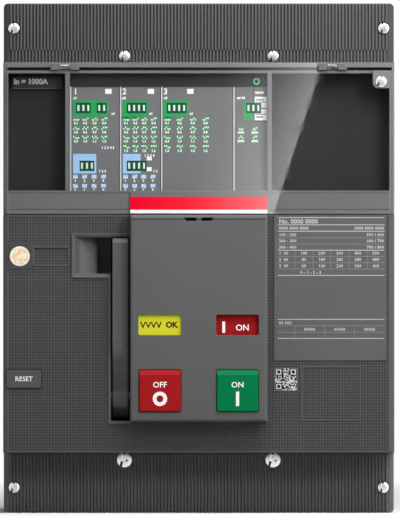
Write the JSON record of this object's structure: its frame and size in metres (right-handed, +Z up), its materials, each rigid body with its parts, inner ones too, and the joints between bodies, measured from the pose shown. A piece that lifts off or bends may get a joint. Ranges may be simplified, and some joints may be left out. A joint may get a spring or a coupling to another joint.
{
  "type": "molded case circuit breaker",
  "caption": "Dark grey molded case circuit breaker with ribbed terminal covers, a clear hinged cover over its trip unit, a charging lever and push buttons.",
  "frame": {"origin": "centre of the back mounting face", "axes": "front faces -Y, +Z up, +X to the right seen from the front"},
  "size_m": [0.21, 0.177, 0.274],
  "materials": {
    "case_plastic": "fine matte moulded plastic",
    "cover_plastic": "matte ribbed plastic",
    "shield_plastic": "matte plastic with a fine square grid",
    "frame_plastic": "smooth grey plastic",
    "panel_plastic": "smooth grey plastic",
    "fascia_plastic": "printed grey plastic",
    "header_plastic": "black gloss",
    "window_plastic": "dark plastic",
    "dip_green": "green",
    "toggle_white": "white",
    "clear_plastic": "clear gloss",
    "stripe_red": "red",
    "line_white": "white",
    "flag_yellow": "yellow",
    "flag_red": "red",
    "button_red": "red",
    "button_green": "green",
    "lever_plastic": "dark plastic",
    "pin_steel": "zinc plated",
    "label_grey": "satin film",
    "seal_cream": "cream",
    "copper": "plain copper"
  },
  "bodies": {
    "case": {"base": "case_plastic", "main_cover": "case_plastic", "front_shield": "shield_plastic", "trip_frame": "frame_plastic", "top_cover": "cover_plastic", "rib_strip": "cover_plastic", "bottom_cover": "cover_plastic", "operating_panel": "panel_plastic", "trip_unit": "fascia_plastic", "trip_housing": "case_plastic", "trip_header": "header_plastic", "rating_plate": "window_plastic", "dip_windows": "dip_green", "dip_toggles": "toggle_white", "left_window": "window_plastic", "right_window": "window_plastic", "cover_hinges": "frame_plastic", "stripe_band": "stripe_red", "stripe_line": "line_white", "spring_flag": "flag_yellow", "contact_flag": "flag_red", "lever_pin": "pin_steel", "nameplate": "label_grey", "data_label": "label_grey", "seal_plate": "label_grey", "seal_disc": "seal_cream", "blank_plate": "label_grey", "upper_terminal_1": "copper", "upper_terminal_2": "copper", "upper_terminal_3": "copper", "lower_terminal_1": "copper", "lower_terminal_2": "copper", "lower_terminal_3": "copper"},
    "charging_lever": {"charging_lever": "lever_plastic"},
    "clear_cover": {"clear_cover": "clear_plastic"},
    "off_button": {"off_button": "button_red"},
    "on_button": {"on_button": "button_green"},
    "reset_button": {"reset_button": "panel_plastic"}
  },
  "joints": [
    {"name": "charging_lever_pull", "type": "hinge", "parent": "case", "child": "charging_lever", "pos_m": [-0.042, -0.148, -0.0745], "axis": [1, 0, 0], "range_deg": [0, 75], "stiffness_Nm_per_rad": 0.2, "springref_deg": -20.05},
    {"name": "off_button_push", "type": "slide", "parent": "case", "child": "off_button", "axis": [0, 1, 0], "range_m": [0, 0.004], "stiffness_N_per_m": 500, "springref_m": -0.004},
    {"name": "on_button_push", "type": "slide", "parent": "case", "child": "on_button", "axis": [0, 1, 0], "range_m": [0, 0.004], "stiffness_N_per_m": 500, "springref_m": -0.004},
    {"name": "reset_button_push", "type": "slide", "parent": "case", "child": "reset_button", "axis": [0, 1, 0], "range_m": [0, 0.003], "stiffness_N_per_m": 400, "springref_m": -0.003},
    {"name": "clear_cover_lift", "type": "hinge", "parent": "case", "child": "clear_cover", "pos_m": [0, -0.1645, 0.1027], "axis": [-1, 0, 0], "range_deg": [0, 100]}
  ]
}
